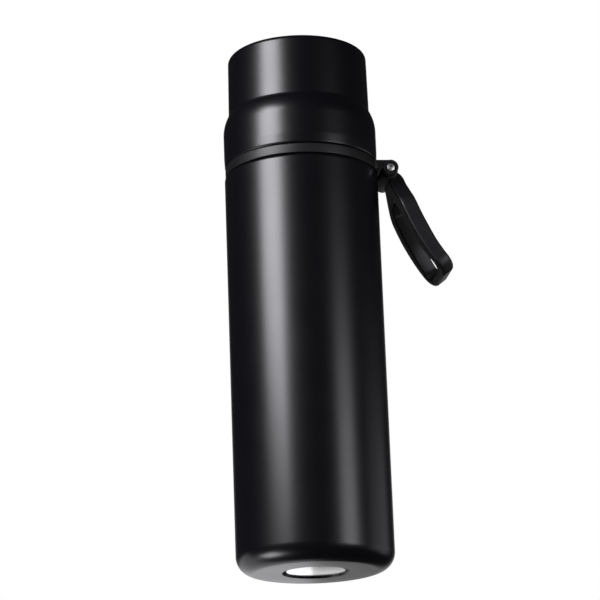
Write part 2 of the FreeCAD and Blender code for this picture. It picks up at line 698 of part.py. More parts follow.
def pour_slot():
    """Cutter for one curved slot through the deck, towards the handle."""
    inner = WELL_OUTER + POUR_SLOT_MARGIN
    outer = PLUG_INNER - POUR_SLOT_MARGIN
    face = Part.Face(outline([
        (inner, DECK_FOOT),
        (outer, DECK_FOOT),
        (outer, DECK_TOP),
        (inner, DECK_TOP),
    ], side_plane))
    turn_axis = Vector(0, 0, 1)
    face.rotate(Vector(0, 0, 0), turn_axis, -POUR_SLOT_ANGLE / 2)
    return face.revolve(Vector(0, 0, 0), turn_axis, POUR_SLOT_ANGLE)


def plug_seal():
    """Silicone lip in the plug's groove."""
    inner = PLUG_RADIUS - PLUG_SEAL_DEPTH + SNUG
    outer = MOUTH_RADIUS - SEAM
    foot = PLUG_SEAL_FOOT + SNUG
    top = PLUG_SEAL_TOP - SNUG
    middle = (foot + top) / 2
    line = [
        (inner, foot),
        (PLUG_RADIUS, foot),
        (outer, middle),
        (PLUG_RADIUS, top),
        (inner, top),
    ]
    return lathe(line)


def stem_seal():
    """Small ring that keeps drink out of the spring well."""
    outer = STEM_GUIDE + STEM_SEAL_WIDTH
    return tube(STEM_GUIDE, outer, WELL_INSIDE, WELL_INSIDE + STEM_SEAL_HEIGHT)


# ---- push button and valve --------------------------------------------------
def push_button():
    """Thumb button with a boss that grips the valve stem."""
    groove = BUTTON_RADIUS - BUTTON_SEAL_DEPTH
    inner = groove - BUTTON_WALL
    boss_foot = BUTTON_ROOF - BUTTON_BOSS_HEIGHT
    line = [
        (inner, BUTTON_FOOT),
        (BUTTON_RADIUS, BUTTON_FOOT),
        (BUTTON_RADIUS, BUTTON_SEAL_FOOT),
        (groove, BUTTON_SEAL_FOOT),
        (groove, BUTTON_SEAL_TOP),
        (BUTTON_RADIUS, BUTTON_SEAL_TOP),
        (BUTTON_RADIUS, BUTTON_TOP, BUTTON_EDGE),
        (BUTTON_RADIUS - BUTTON_RIM, BUTTON_TOP),
        (0, BUTTON_TOP - BUTTON_DISH),
        (0, BUTTON_ROOF),
        (STEM_HOLE, BUTTON_ROOF),
        (STEM_HOLE, boss_foot),
        (BUTTON_BOSS_RADIUS, boss_foot),
        (BUTTON_BOSS_RADIUS, BUTTON_ROOF),
        (inner, BUTTON_ROOF),
    ]
    return lathe(line)


def button_seal():
    """Ring in the button's groove."""
    inner = BUTTON_RADIUS - BUTTON_SEAL_DEPTH + SNUG
    outer = WELL_RADIUS - RUNNING_FIT
    return tube(inner, outer, BUTTON_SEAL_FOOT + SNUG, BUTTON_SEAL_TOP - SNUG)


def valve_stem():
    """Rod from the button down to the valve."""
    foot = CLIP_FOOT - STEM_TAIL
    return tube(0, STEM_RADIUS, foot, BUTTON_ROOF)


def valve_seal():
    """Silicone disc that closes the port from below."""
    return tube(STEM_HOLE, VALVE_SEAL_RADIUS, VALVE_PLATE_TOP, PLUG_FLOOR)


def valve_plate():
    """Stiff plate that presses the valve seal up."""
    outer = VALVE_SEAL_RADIUS + VALVE_PLATE_LAP
    return tube(STEM_HOLE, outer, CLIP_TOP, VALVE_PLATE_TOP)


def stem_clip():
    """Clip that keeps the valve plate on the stem."""
    return tube(STEM_HOLE, STEM_HOLE + CLIP_WIDTH, CLIP_FOOT, CLIP_TOP)


def button_spring():
    """Coil that lifts the button and pulls the valve shut."""
    half_wire = SPRING_WIRE / 2
    foot = WELL_INSIDE + half_wire
    rise = BUTTON_ROOF - half_wire - foot
    steps = SPRING_TURNS * SPRING_STEPS
    sections = []
    for step in range(steps + 1):
        angle = 2 * math.pi * step / SPRING_STEPS
        height = foot + rise * step / steps
        ring = []
        for corner in range(SPRING_CORNERS):
            turn = 2 * math.pi * corner / SPRING_CORNERS
            reach = SPRING_RADIUS + half_wire * math.cos(turn)
            level = height + half_wire * math.sin(turn)
            ring.append(Vector(reach * math.cos(angle), reach * math.sin(angle), level))
        sections.append(Part.makePolygon(ring + ring[:1]))
    return Part.makeLoft(sections, True, True)


# ---- cup --------------------------------------------------------------------
def cup_shell():
    """Painted cup: flared skirt, convex shoulder, crease and cylinder."""
    tilt = math.radians(SHOULDER_TILT)
    drop = CREASE_INSET / math.tan(tilt)
    line = [
        (BODY_RADIUS - CUP_RIM_CHAMFER, CUP_RIM),
        (BODY_RADIUS, CUP_RIM + CUP_RIM_CHAMFER),
        (BODY_RADIUS, CREASE_HEIGHT - drop, CUP_SHOULDER_ROUND),
        (CREASE_RADIUS, CREASE_HEIGHT, CREASE_ROUND),
        (CUP_TOP_RADIUS, CUP_TOP, CUP_TOP_EDGE),
        (CUP_DISH_RADIUS, CUP_TOP),
        (CUP_DISH_RADIUS - CUP_DISH_DEPTH, CUP_TOP - CUP_DISH_DEPTH),
        (0, CUP_TOP - CUP_DISH_DEPTH),
    ]
    return lathe(sheet(line, CUP_WALL))


def cup_liner():
    """Inner wall of the cup, closed to the shell at the rim."""
    lip_outer = BODY_RADIUS - CUP_WALL - SNUG
    lip = CUP_RIM + LINER_LIP
    shoulder = CREASE_HEIGHT - LINER_SHOULDER_DROP
    ledge = DECK_TOP + CUP_GASKET_HEIGHT + LINER_WALL
    top = CUP_TOP - LINER_TOP_GAP
    line = [
        (lip_outer, lip),
        (LINER_SKIRT_RADIUS, lip, LINER_LIP_ROUND),
        (LINER_SKIRT_RADIUS, shoulder, LINER_SHOULDER_ROUND),
        (LINER_LEDGE_RADIUS, ledge),
        (LINER_RADIUS, ledge),
        (LINER_RADIUS, top, LINER_CORNER),
        (0, top),
    ]
    return lathe(sheet(line, LINER_WALL))


def cup_thread_ring():
    """Plastic ring in the skirt that carries the cup's thread."""
    outer = LINER_SKIRT_RADIUS - LINER_WALL - SNUG
    top = THREAD_RING_FOOT + THREAD_RING_HEIGHT
    return tube(THREAD_RING_INNER, outer, THREAD_RING_FOOT, top)


def cup_gasket():
    """Silicone ring between the stopper's deck and the cup's ledge."""
    inner = CUP_GASKET_OUTER - CUP_GASKET_WIDTH
    return tube(inner, CUP_GASKET_OUTER, DECK_TOP, DECK_TOP + CUP_GASKET_HEIGHT)


PIECES = (
    base_cap, outer_shell, inner_vessel, heat_foil, getter, seal_bead, base_disc,
    snap_ring, carry_ring, pivot_screw, pivot_sleeve, carry_handle, neck_gasket,
    stopper_body, plug_seal, stem_seal, push_button, button_seal, valve_stem,
    valve_seal, valve_plate, stem_clip, button_spring, cup_shell, cup_liner,
    cup_thread_ring, cup_gasket,
)

for piece in PIECES:
    save(piece(), piece.__name__)
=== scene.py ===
# %% [markdown]
# # A vacuum flask with a cup lid, a carry ring and a swing handle
#
# The solids of the flask are already made and packed as a fixed frame. This
# script dresses them: it gives the painted steel clean turned surfaces, adds
# the screw threads, rounds the small edges, gives every piece its finish, and
# lights the flask as it would stand in a plain studio.
#
# The frame is in metres. +Z runs up the axis of the flask, and the lug that
# carries the handle points to +X. The sizes of the pieces are in millimetres,
# the unit of a maker's drawing, and MM turns them into metres when a mesh is
# made. The floor, the lamps and the camera are placed in metres.

import json
import math

import bmesh
import bpy
import numpy as np
from mathutils import Matrix, Quaternion, Vector

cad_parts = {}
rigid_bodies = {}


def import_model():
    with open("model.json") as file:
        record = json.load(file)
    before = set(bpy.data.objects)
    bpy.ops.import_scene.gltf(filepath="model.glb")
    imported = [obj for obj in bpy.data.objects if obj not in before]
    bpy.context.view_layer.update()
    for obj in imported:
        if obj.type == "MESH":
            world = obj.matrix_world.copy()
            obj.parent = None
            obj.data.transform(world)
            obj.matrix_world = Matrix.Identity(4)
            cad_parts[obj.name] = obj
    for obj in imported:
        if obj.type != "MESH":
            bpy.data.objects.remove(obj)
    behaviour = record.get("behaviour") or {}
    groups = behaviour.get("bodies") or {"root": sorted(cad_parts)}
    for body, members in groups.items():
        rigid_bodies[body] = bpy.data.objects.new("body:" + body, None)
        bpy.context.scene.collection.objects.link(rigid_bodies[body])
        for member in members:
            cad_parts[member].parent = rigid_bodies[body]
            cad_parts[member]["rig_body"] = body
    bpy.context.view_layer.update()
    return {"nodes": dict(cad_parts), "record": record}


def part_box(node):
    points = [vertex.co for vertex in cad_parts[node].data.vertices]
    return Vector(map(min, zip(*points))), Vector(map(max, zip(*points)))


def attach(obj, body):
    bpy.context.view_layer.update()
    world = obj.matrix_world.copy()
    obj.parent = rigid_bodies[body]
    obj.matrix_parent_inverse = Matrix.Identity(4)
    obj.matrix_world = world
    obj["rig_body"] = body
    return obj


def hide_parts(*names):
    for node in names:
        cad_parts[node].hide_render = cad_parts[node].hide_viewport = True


MM = 0.001
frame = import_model()
nodes = frame["nodes"]

# %% [markdown]
# ## Turned shapes
# Nearly every piece of a flask is spun, pressed or moulded round one axis, so
# its shape is a profile of radius against height, carried round that axis. The
# profile could be a long list of points, but a list hides what the shape is. A
# few corners with a rounding each say it better, and the arcs are worked out.

# %% A profile from a few rounded corners
def with_rounding(corners):
    """Corners with a third value, their rounding, which is 0 where it is left out."""
    return [tuple(corner) + (0.0,) * (3 - len(corner)) for corner in corners]


def rounded_line(corners, steps=12):
    """Points along a closed line whose corners are replaced by arcs.

    The arc starts and ends where a circle of the corner's rounding touches
    both sides: rounding / tan(half the angle between the sides) away from the
    corner. Its points are the start, turned about the centre in even steps.
    """
    corners = with_rounding(corners)
    count = len(corners)
    pieces = []
    for i, (radius, height, rounding) in enumerate(corners):
        here = np.array([radius, height])
        if rounding <= 0:
            pieces.append(here[None, :])
            continue
        back = np.array(corners[i - 1][:2]) - here
        ahead = np.array(corners[(i + 1) % count][:2]) - here
        back /= np.linalg.norm(back)
        ahead /= np.linalg.norm(ahead)
        half = math.acos(np.clip(back @ ahead, -1, 1)) / 2
        centre = here + (back + ahead) / np.linalg.norm(back + ahead) * rounding / math.sin(half)
        start = here + back * rounding / math.tan(half) - centre
        end = here + ahead * rounding / math.tan(half) - centre
        turn = math.atan2(start[0] * end[1] - start[1] * end[0], start @ end)
        swing = np.linspace(0, turn, steps)
        cosine, sine = np.cos(swing), np.sin(swing)
        arc = np.stack([start[0] * cosine - start[1] * sine, start[0] * sine + start[1] * cosine], 1)
        pieces.append(centre + arc)
    return np.concatenate(pieces)


# %% [markdown]
# ### Bent sheet
# The body and the cup are pressed from sheet that is thinner than half a
# millimetre. A Solidify modifier could thicken a turned surface, but the sheet
# bends about one centre, so its two sides have different roundings. Moving the
# line of corners keeps both right.

# %% A profile of bent sheet
def bent_sheet(corners, wall):
    """Closed profile: the line of corners, then the same line moved to its left.

    A corner moves by wall / (1 + cosine of its bend) times the sum of the two
    sides' left-hand vectors. Its rounding is a wall smaller on the inside of
    a bend and a wall larger on the outside.
    """
    line = np.array(with_rounding(corners))
    ways = np.diff(line[:, :2], axis=0)
    ways /= np.linalg.norm(ways, axis=1)[:, None]
    before = np.vstack([ways[:1], ways])
    after = np.vstack([ways, ways[-1:]])
    scale = wall / (1 + (before * after).sum(1))
    turn = before[:, 0] * after[:, 1] - before[:, 1] * after[:, 0]
    summed = before + after
    moved = line[:, :2] + np.stack([-summed[:, 1], summed[:, 0]], 1) * scale[:, None]
    inner = np.maximum(line[:, 2] - wall, 0)
    outer = np.where(line[:, 2] > 0, line[:, 2] + wall, 0)
    rounding = np.where(turn > 0, inner, outer)
    back = np.column_stack([moved, rounding])[::-1]
    return [tuple(row) for row in line] + [tuple(row) for row in back]


# %% [markdown]
# ### Closed meshes
# A piece that is printed, simulated or rendered as glass has to be closed, and
# its faces have to point outwards. Doing this by hand in each step would be
# forgotten sooner or later, so every piece below goes through one function,
# which also counts the edges that don't have a face on both sides.

# %% From points to a closed mesh
def finished_mesh(name, points, faces, sharp=35):
    """Mesh object from points and faces, welded, closed and facing outwards.

    The volume under the faces is the sum of each triangle's corner dotted with
    its area vector; where it comes out negative, the faces are turned round.
    """
    mesh = bpy.data.meshes.new(name)
    mesh.from_pydata(points.tolist(), [], faces)
    work = bmesh.new()
    work.from_mesh(mesh)
    bmesh.ops.remove_doubles(work, verts=work.verts, dist=1e-7)
    if work.calc_volume(signed=True) < 0:
        bmesh.ops.reverse_faces(work, faces=work.faces)
    gaps = sum(1 for edge in work.edges if len(edge.link_faces) != 2)
    work.to_mesh(mesh)
    work.free()
    mesh.shade_smooth()
    mesh.set_sharp_from_angle(angle=math.radians(sharp))
    piece = bpy.data.objects.new(name, mesh)
    bpy.context.scene.collection.objects.link(piece)
    print(f"{name}: {len(mesh.polygons)} faces, {gaps} open edges")
    return piece


# %% Faces of a grid
def grid_faces(rows, columns, wrap_rows, wrap_columns):
    """Four-cornered faces of a grid of points, joined end to start if asked.

    The point in a row and a column has the number row x columns + column.
    """
    row = np.arange(rows if wrap_rows else rows - 1)
    column = np.arange(columns if wrap_columns else columns - 1)
    row, column = np.meshgrid(row, column, indexing="ij")
    next_row = (row + 1) % rows
    next_column = (column + 1) % columns
    quads = [row * columns + column, row * columns + next_column,
             next_row * columns + next_column, next_row * columns + column]
    return np.stack(quads, -1).reshape(-1, 4)


# %% A profile spun about Z
NOTHING = 1e-9


def turned(name, profile, around=256):
    """Profile spun about Z: x = radius cos a, y = radius sin a, z = height.

    Faces whose profile side has no length, or lies on the axis, are left out.
    """
    angle = np.linspace(0, 2 * np.pi, around, endpoint=False)
    radius, height = profile[:, :1], profile[:, 1:]
    x = radius * np.cos(angle)
    y = radius * np.sin(angle)
    z = height + 0 * angle
    points = np.stack([x, y, z], -1).reshape(-1, 3) * MM
    quads = grid_faces(len(profile), around, True, True)
    one, other = points[quads[:, 0]], points[quads[:, 3]]
    no_length = np.linalg.norm(one - other, axis=1) < NOTHING
    on_axis = (np.hypot(one[:, 0], one[:, 1]) < NOTHING) & (np.hypot(other[:, 0], other[:, 1]) < NOTHING)
    return finished_mesh(name, points, quads[~(no_length | on_axis)].tolist())


# %% [markdown]
# ## The painted steel body
# The body is a drawn steel tube with a pressed bottom welded in, ground smooth
# and powder coated in one go, so no seam shows on the outside. It could be a
# cylinder with bevelled edges, but the broad round of the bottom, the recess
# and the small round of the ledge each have their own size, which a profile
# says plainly. One turned surface stands for both sheets, from the small hole
# through which the air was drawn out to the ledge, where the paint ends.

# %% Paint from the recess to the ledge
WALL = 0.45
HOLE_RADIUS = 1.2
RECESS_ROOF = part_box("base_disc")[1].z / MM
DIMPLE_ROOF = RECESS_ROOF + 1.2
FOOT_ROUND = 0.3
BODY_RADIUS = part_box("base_cap")[1].x / MM
BOTTOM_ROUND = 8.2
LEDGE = 188.0
LEDGE_ROUND = 1.7
COLLAR_RADIUS = 31.2

body_line = [
    (HOLE_RADIUS, DIMPLE_ROOF),
    (4.7, DIMPLE_ROOF),
    (5.4, RECESS_ROOF),
    (14.5, RECESS_ROOF, FOOT_ROUND),
    (15.2, 0, FOOT_ROUND),
    (BODY_RADIUS, 0, BOTTOM_ROUND),
    (BODY_RADIUS, LEDGE, LEDGE_ROUND),
    (COLLAR_RADIUS, LEDGE),
]
painted_body = turned("painted_body", rounded_line(bent_sheet(body_line, WALL), steps=20))
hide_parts("base_cap", "outer_shell")
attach(painted_body, "flask")

# %% [markdown]
# ## The bright disc
# A polished steel disc covers the hole in the middle of the underside. A
# cylinder with a bevel would do, but its back has to stay sharp against the
# recess, and on a profile one corner can be round and the next one not. Its
# face lies a little inside the ring that the flask stands on, so it isn't
# scratched.

# %% Bright disc
DISC_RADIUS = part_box("base_disc")[1].x / MM
DISC_FACE = 0.7
DISC_ROUND = 0.35
disc_line = [
    (0, DISC_FACE),
    (DISC_RADIUS, DISC_FACE, DISC_ROUND),
    (DISC_RADIUS, RECESS_ROOF),
    (0, RECESS_ROOF),
]
bright_disc = turned("bright_disc", rounded_line(disc_line))
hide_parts("base_disc")
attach(bright_disc, "flask")

# %% [markdown]
# ## The bare collar and neck
# Above the ledge the sheet steps in to a collar, on which the carry ring turns
# below a groove for its snap ring, and again to the neck that takes the
# stopper. It is the same sheet as the body and could be one mesh with it, with
# a finish for each part. As a piece of its own it keeps one finish throughout,
# which is simpler to change.

# %% Bare collar and neck
SNAP_PLAY = 0.05
snap_low, snap_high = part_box("snap_ring")
GROOVE = snap_low.z / MM - SNAP_PLAY
GROOVE_TOP = snap_high.z / MM + SNAP_PLAY
GROOVE_DEPTH = 0.7
COLLAR_TOP = LEDGE + 7.6
NECK_RADIUS = 25.0
NECK_FOOT = 198.4
NECK_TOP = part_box("outer_shell")[1].z / MM
collar_line = [
    (COLLAR_RADIUS, LEDGE - WALL),
    (COLLAR_RADIUS, GROOVE),
    (COLLAR_RADIUS - GROOVE_DEPTH, GROOVE),
    (COLLAR_RADIUS - GROOVE_DEPTH, GROOVE_TOP),
    (COLLAR_RADIUS, GROOVE_TOP),
    (COLLAR_RADIUS, COLLAR_TOP, 1.2),
    (NECK_RADIUS, NECK_FOOT, 2.0),
    (NECK_RADIUS, NECK_TOP),
]
steel_neck = turned("steel_neck", rounded_line(bent_sheet(collar_line, WALL)))
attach(steel_neck, "flask")

# %% [markdown]
# ## The cup
# The cup lid is pressed from the same steel and painted with the body. Its
# side is a plain cylinder that ends in a soft crease, below which the wall
# swells out to the body's radius and tucks in a hair at the rim. The crease
# could be sculpted or bevelled, but on a profile it is one corner with a
# rounding, and the swell above the rim is another. The top is dished, with a
# narrow rim round it.

# %% Painted cup
CUP_WALL = 0.4
CUP_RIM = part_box("cup_shell")[0].z / MM
RIM_FOLD = 2.4
RIM_TUCK = 0.25
TUCK_TOP = CUP_RIM + 5.0
SHOULDER_SLOPE = math.radians(28)
CREASE = (33.3, 218.6)
SHOULDER = CREASE[1] - (BODY_RADIUS - CREASE[0]) / math.tan(SHOULDER_SLOPE)
CUP_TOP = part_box("cup_shell")[1].z / MM
TOP_RADIUS = 32.9
DISH_RADIUS = 26.0
DISH_DEPTH = 0.8
cup_line = [
    (BODY_RADIUS - RIM_FOLD, CUP_RIM),
    (BODY_RADIUS - RIM_TUCK, CUP_RIM, 1.0),
    (BODY_RADIUS, TUCK_TOP, 12.0),
    (BODY_RADIUS, SHOULDER, 18.0),
    (*CREASE, 3.0),
    (TOP_RADIUS, CUP_TOP, 2.3),
    (DISH_RADIUS, CUP_TOP),
    (DISH_RADIUS - DISH_DEPTH, CUP_TOP - DISH_DEPTH),
    (0, CUP_TOP - DISH_DEPTH),
]
painted_cup = turned("painted_cup", rounded_line(bent_sheet(cup_line, CUP_WALL), steps=24))
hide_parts("cup_shell")
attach(painted_cup, "cup")

# %% [markdown]
# ## The carry handle
# The handle is one moulding: a barrel on the pivot pin and a closed loop that
# leaves it, widens and bends outwards. A bent curve with a bevel could make
# the loop, but its arms aren't round, and both its outline and its opening have
# their own shape. So both are drawn flat, as a distance along the handle
# against one across it. A band with rounded edges joins the two, and is then
# laid on the handle's arc.

# %% Where the handle turns and how it bends
sleeve_low, sleeve_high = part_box("pivot_sleeve")
PIVOT = (sleeve_low + sleeve_high) / 2 / MM
TOP_ANGLE = math.radians(10.8)
END_ANGLE = math.radians(38.8)
LOOP_LENGTH = 56.4
BEND_RADIUS = LOOP_LENGTH / (END_ANGLE - TOP_ANGLE)
MID_OFFSET = 2.4
print("the handle bends with a radius of", round(BEND_RADIUS, 1), "mm")


def laid_on_arc(along, across, outward):
    """Flat place taken to the arc: the angle grows evenly with the distance
    along, and a place outward lies that much nearer to the arc's centre.
    """
    angle = TOP_ANGLE + along / BEND_RADIUS
    reach = BEND_RADIUS - outward
    centre_x = PIVOT.x + (MID_OFFSET + BEND_RADIUS) * math.cos(TOP_ANGLE)
    centre_z = PIVOT.z + (MID_OFFSET + BEND_RADIUS) * math.sin(TOP_ANGLE)
    return np.stack([centre_x - reach * np.cos(angle), across, centre_z - reach * np.sin(angle)], -1)


# %% How thick the plate is
PLATE_OUTER = 3.9
PLATE_INNER = -3.5
HEAD_ROUND = 5.5
GRIP_HOLLOW = 0.4
HOLLOW_FROM = (30, 44)
HOLLOW_TO = (47, 55)


def ease(value, start, end):
    """0 before start, 1 after end, and 3 t^2 - 2 t^3 between."""
    share = np.clip((value - start) / (end - start), 0, 1)
    return share * share * (3 - 2 * share)


def faces_of_plate(along):
    """Outer and inner face of the plate, measured from its mid plane.

    The outer face leaves the barrel in a quarter circle of HEAD_ROUND, and is
    hollowed by GRIP_HOLLOW where the loop is held.
    """
    outer = PLATE_OUTER - GRIP_HOLLOW * (ease(along, *HOLLOW_FROM) - ease(along, *HOLLOW_TO))
    short = np.clip(HEAD_ROUND - along, 0, HEAD_ROUND)
    outer = outer - HEAD_ROUND + np.sqrt(HEAD_ROUND ** 2 - short ** 2)
    return outer, PLATE_INNER + 0 * along


# %% [markdown]
# ### Outline and opening
# Half of each line is enough, because the other half is its mirror image. The
# outline has two sweeping bends where it widens from the neck, and a blunt end
# with rounded corners. The opening follows it, with arms that grow thinner
# towards the end.

# %% Outline and opening
NECK_HALF = 6.9
LOOP_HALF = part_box("carry_handle")[1].y / MM
LOOP_END = LOOP_LENGTH - 0.2
SIDE_ROUND = 11.5


def both_sides(points):
    """Corners on the +Y side after their mirror images, anticlockwise."""
    other = [(point[0], -point[1]) + tuple(point[2:]) for point in points]
    return other + points[::-1]


loop_outline = rounded_line(both_sides([
    (0, NECK_HALF),
    (5.1, NECK_HALF, SIDE_ROUND),
    (17.4, LOOP_HALF, SIDE_ROUND),
    (LOOP_END, LOOP_HALF, 7.5),
]), steps=24)
loop_opening = rounded_line(both_sides([
    (14.0, 3.4, 2.5),
    (18.0, 7.0, 2.5),
    (36.0, 7.6, 30.0),
    (LOOP_LENGTH - 4.0, 11.9, 4.0),
]), steps=24)

# %% [markdown]
# ### Pairs of points
# A band needs the same number of points on both lines, each facing its
# partner. The outline is divided evenly. From a place in the middle of the
# loop a ray goes through each of its points, and where the ray crosses the
# opening lies that point's partner.

# %% Points that face each other
LOOP_MIDDLE = 32.0
AROUND_LOOP = 400


def evenly(line, count):
    """Points a constant distance apart along a closed line."""
    line = np.vstack([line, line[:1]])
    length = np.concatenate([[0], np.cumsum(np.linalg.norm(np.diff(line, axis=0), axis=1))])
    spots = np.linspace(0, length[-1], count, endpoint=False)
    return np.stack([np.interp(spots, length, line[:, k]) for k in (0, 1)], 1)


def rays(line):
    """Angle at which each point is seen from the middle of the loop."""
    return np.arctan2(line[:, 1], line[:, 0] - LOOP_MIDDLE)


def to_the_left(line):
    """Unit vector at each point of a closed line, square to it on its left."""
    way = np.roll(line, -1, axis=0) - np.roll(line, 1, axis=0)
    way /= np.linalg.norm(way, axis=1)[:, None]
    return np.stack([-way[:, 1], way[:, 0]], 1)


outer = evenly(loop_outline, AROUND_LOOP)
dense = evenly(loop_opening, 10 * AROUND_LOOP)
dense = dense[np.argsort(rays(dense))]
inner = np.stack([np.interp(rays(outer), rays(dense), dense[:, k], period=2 * np.pi) for k in (0, 1)], 1)
widths = np.linalg.norm(outer - inner, axis=1)
print(f"from its outline to its opening the loop measures {widths.min():.1f} to {widths.max():.1f} mm")

# %% [markdown]
# ### The band between the two lines
# The section of the loop is a rectangle with four quarter circles for corners.
# A Bevel modifier rounds such edges too, but with one size throughout, and
# here the outer edges grow rounder towards the end while the inner ones stay
# tight. So the band is worked out strip by strip: a rim along the outline, the
# lower face, a rim along the opening, and the upper face.

# %% The band between them
quarter = np.linspace(0, np.pi / 2, 6)
face_shares = np.linspace(0, 1, 18)[1:-1]


def rim(line, way, size):
    """Rounded edge of the band, from its upper face round to its lower one.

    It is a quarter circle at each face: its points lie size (1 - sin a) off
    the face and size (1 - cos a) in from the line.
    """
    turns = [(angle, True) for angle in quarter[::-1]] + [(angle, False) for angle in quarter]
    return [(line + way * (size * (1 - math.cos(angle)))[:, None], size * (1 - math.sin(angle)), upper)
            for angle, upper in turns]


def flat_face(start, end, upper):
    """Flat face of the band: places start + share (end - start)."""
    return [(start * (1 - share) + end * share, 0 * start[:, 0], upper) for share in face_shares]


OUTER_EDGE = 1.2
OUTER_EDGE_GROWS = 0.5
INNER_EDGE = 0.8
upper_face, lower_face = faces_of_plate(outer[:, 0])
edge = OUTER_EDGE + OUTER_EDGE_GROWS * ease(outer[:, 0], 44, 54)
outer_size = np.minimum(edge, 0.4 * (upper_face - lower_face))
inner_size = np.full(len(inner), INNER_EDGE)
outer_rim = rim(outer, to_the_left(outer), outer_size)
inner_rim = rim(inner, -to_the_left(inner), inner_size)[::-1]
columns = (outer_rim + flat_face(outer_rim[-1][0], inner_rim[0][0], False)
           + inner_rim + flat_face(inner_rim[-1][0], outer_rim[0][0], True))

# %% The loop on its arc
strips = []
for place, inset, upper in columns:
    upper_face, lower_face = faces_of_plate(place[:, 0])
    outward = upper_face - inset if upper else lower_face + inset
    strips.append(laid_on_arc(place[:, 0], place[:, 1], outward))
points = np.stack(strips, 1).reshape(-1, 3) * MM
band = grid_faces(len(outer), len(columns), True, True)
handle_loop = finished_mesh("handle_loop", points, band.tolist())
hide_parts("carry_handle")
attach(handle_loop, "handle")

# %% [markdown]
# ### The barrel
# The barrel is a plain tube that turns on the pivot's sleeve. The object could
# be turned and moved to its place, but patterns that read the object's own
# coordinates would turn with it. So it is made upright like every other turned
# shape, and its mesh is then laid along Y at the pivot, while the object stays
# unturned at the origin.

# %% Barrel on the pin
BARREL_BORE = 2.18
BARREL_RADIUS = 4.1
BARREL_HALF = 10.2
BARREL_ROUND = 0.4
barrel_line = [
    (BARREL_BORE, -BARREL_HALF),
    (BARREL_RADIUS, -BARREL_HALF, BARREL_ROUND),
    (BARREL_RADIUS, BARREL_HALF, BARREL_ROUND),
    (BARREL_BORE, BARREL_HALF),
]
onto_pivot = Matrix.Translation(PIVOT * MM) @ Matrix.Rotation(math.pi / 2, 4, "X")
handle_barrel = turned("handle_barrel", rounded_line(barrel_line, steps=6), around=96)
handle_barrel.data.transform(onto_pivot)
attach(handle_barrel, "handle")

# %% [markdown]
# ## The pivot screw
# The screw has a low dome with a hexagonal socket. The socket could be cut out
# with a Boolean, which leaves long thin faces on the dome. Here the head is a
# stack of rings about the pivot's line instead, and a ring's radius may change
# with the angle: for the socket it is that of a hexagon, flat / cos(angle from
# the middle of the nearest side).

# %% Domed screw
screw_low, screw_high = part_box("pivot_screw")
HEAD_RADIUS = (screw_high.x - screw_low.x) / 2 / MM
HEAD_EDGE = screw_low.y / MM
HEAD_FOOT = HEAD_EDGE + 1.1
EDGE_FOOT = HEAD_EDGE + 0.12
SHANK_RADIUS = 1.2
SHANK_END = screw_high.y / MM
DOME = 0.35
SOCKET_FLAT = 0.75
SOCKET_FLOOR = HEAD_EDGE + 0.35
around = np.linspace(0, 2 * np.pi, 96, endpoint=False)
hexagon = SOCKET_FLAT / np.cos(around % (math.pi / 3) - math.pi / 6)


def dome(radius):
    """Height of the dome: a bowl upside down, 0 at the head's edge."""
    return HEAD_EDGE - DOME * (1 - (radius / HEAD_RADIUS) ** 2)


rings = [(0, SOCKET_FLOOR), (hexagon, SOCKET_FLOOR), (hexagon, dome(hexagon))]
rings += [(radius, dome(radius)) for radius in np.linspace(1.0, 1.8, 5)]
rings += [
    (HEAD_RADIUS, EDGE_FOOT),
    (HEAD_RADIUS, HEAD_FOOT),
    (SHANK_RADIUS, HEAD_FOOT),
    (SHANK_RADIUS, SHANK_END),
    (0, SHANK_END),
]
radii = np.stack([radius + 0 * around for radius, depth in rings])
depths = np.stack([depth + 0 * around for radius, depth in rings])
points = np.stack([PIVOT.x + radii * np.cos(around), depths, PIVOT.z + radii * np.sin(around)], -1)
stack = grid_faces(len(rings), len(around), False, True)
screw = finished_mesh("domed_screw", points.reshape(-1, 3) * MM, stack.tolist(), sharp=30)
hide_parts("pivot_screw")
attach(screw, "swivel_ring")

# %% [markdown]
# ## Solids that are right as they are
# The carry ring, the stopper and the small inner pieces have their final shape
# in the frame already. Their meshes come as loose triangles, which shade in
# facets. Making them anew would only risk a difference, so a welded copy
# stands for each: the same surface, smooth where it curves and sharp at its
# edges.

# %% A welded copy of a solid
def welded(node):
    """Copy of a solid's triangles with shared corners, standing for the solid."""
    mesh = nodes[node].data
    corners = np.empty(len(mesh.vertices) * 3)
    mesh.vertices.foreach_get("co", corners)
    faces = np.empty(len(mesh.loops), dtype=np.int64)
    mesh.loops.foreach_get("vertex_index", faces)
    piece = finished_mesh(node + "_skin", corners.reshape(-1, 3), faces.reshape(-1, 3).tolist(), sharp=30)
    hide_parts(node)
    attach(piece, nodes[node]["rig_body"])
    return piece


# %% Welded copies
skins = {}
for node in ("carry_ring", "pivot_sleeve", "inner_vessel",
             "heat_foil", "getter", "seal_bead", "snap_ring", "neck_gasket",
             "stopper_body", "plug_seal", "stem_seal", "push_button", "button_seal",
             "valve_stem", "valve_seal", "valve_plate", "stem_clip", "button_spring",
             "cup_liner", "cup_thread_ring", "cup_gasket"):
    skins[node] = welded(node)

# %% [markdown]
# ## Screw threads
# A thread is a ridge that climbs evenly as it goes round. On the real flask one
# is rolled into the steel neck and the others are moulded into the stopper and
# the cup's ring. A Screw modifier makes such a ridge too, but with ends cut off
# square. Here a small flat-topped section is carried along a helix, and it
# fades out at both ends, so that the thread starts and stops gently.

# %% A ridge along a helix
CREST = 0.9
ROOT_SINK = 0.2
FADE = math.radians(40)
STEPS_PER_TURN = 96


